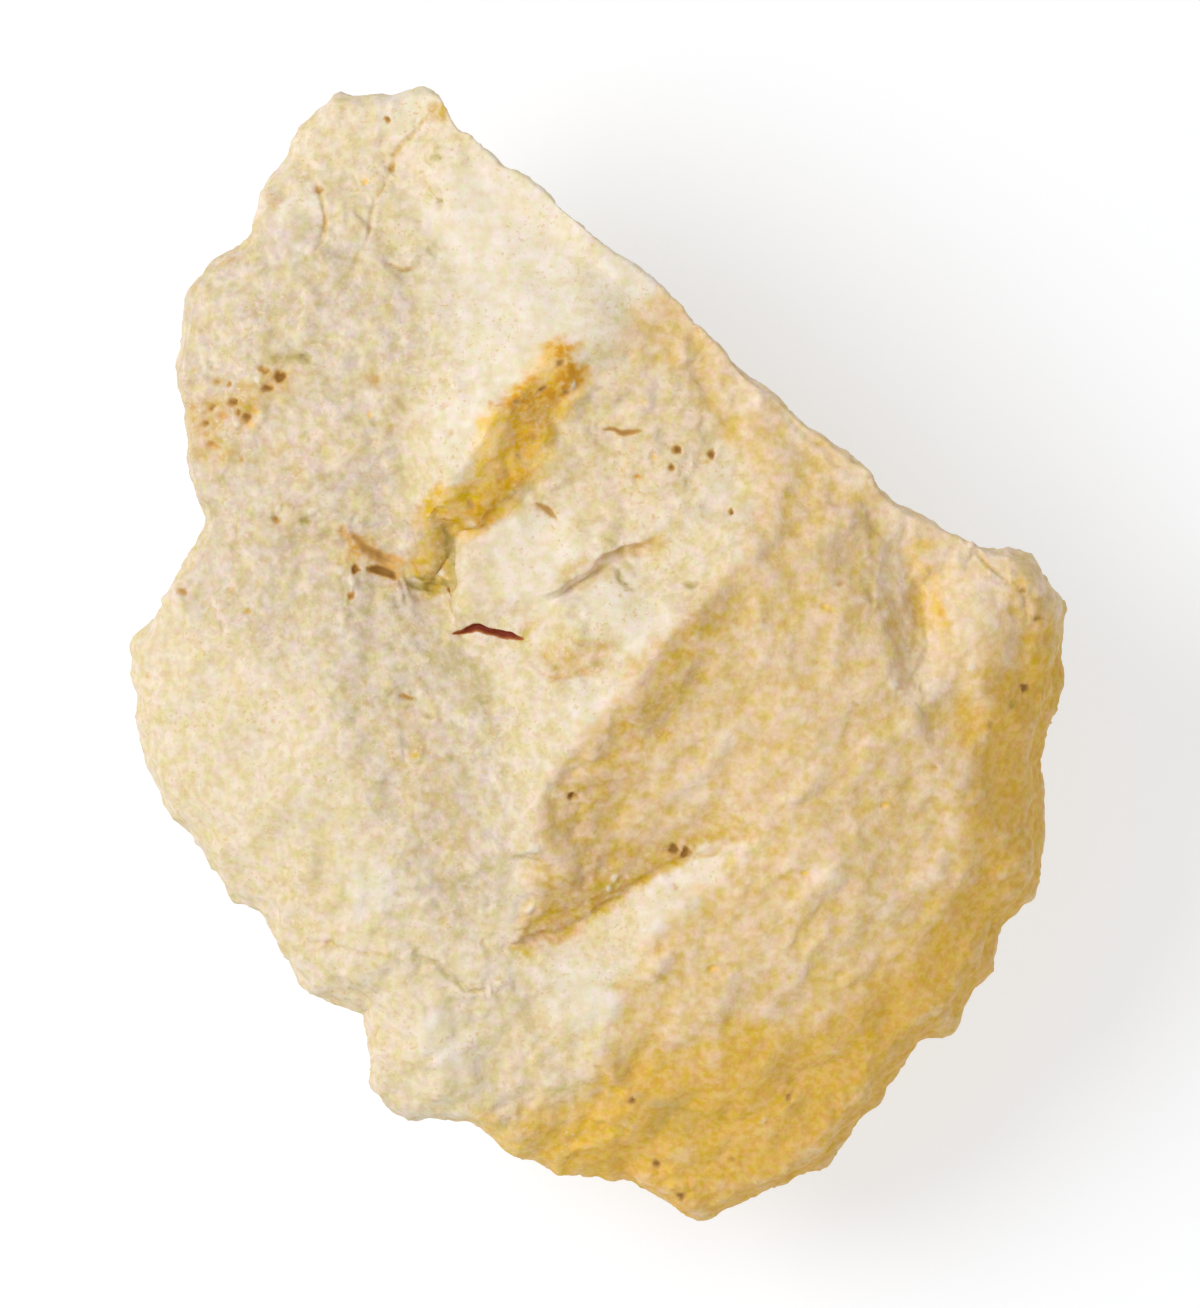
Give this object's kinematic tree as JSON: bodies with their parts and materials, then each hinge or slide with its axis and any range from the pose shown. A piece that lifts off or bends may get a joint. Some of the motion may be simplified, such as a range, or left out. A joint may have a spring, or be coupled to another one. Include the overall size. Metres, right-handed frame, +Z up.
{
  "type": "halloysite specimen",
  "caption": "Loose lump of pale cream halloysite clay mineral, broken to facets, ridges and a notch, resting on a small flat spot.",
  "frame": {"origin": "bottom centre of the lump's box, on the surface it rests on", "axes": "+Z up, the thin way through the lump; +Y along its longest extent, towards the narrow tip"},
  "size_m": [0.0576, 0.07, 0.0295],
  "materials": {
    "halloysite": "earthy, dull to faintly waxy, pale cream on one side and warm tan on the other, with ochre and olive stains"
  },
  "bodies": {
    "root": {"stone": "halloysite"}
  },
  "joints": []
}
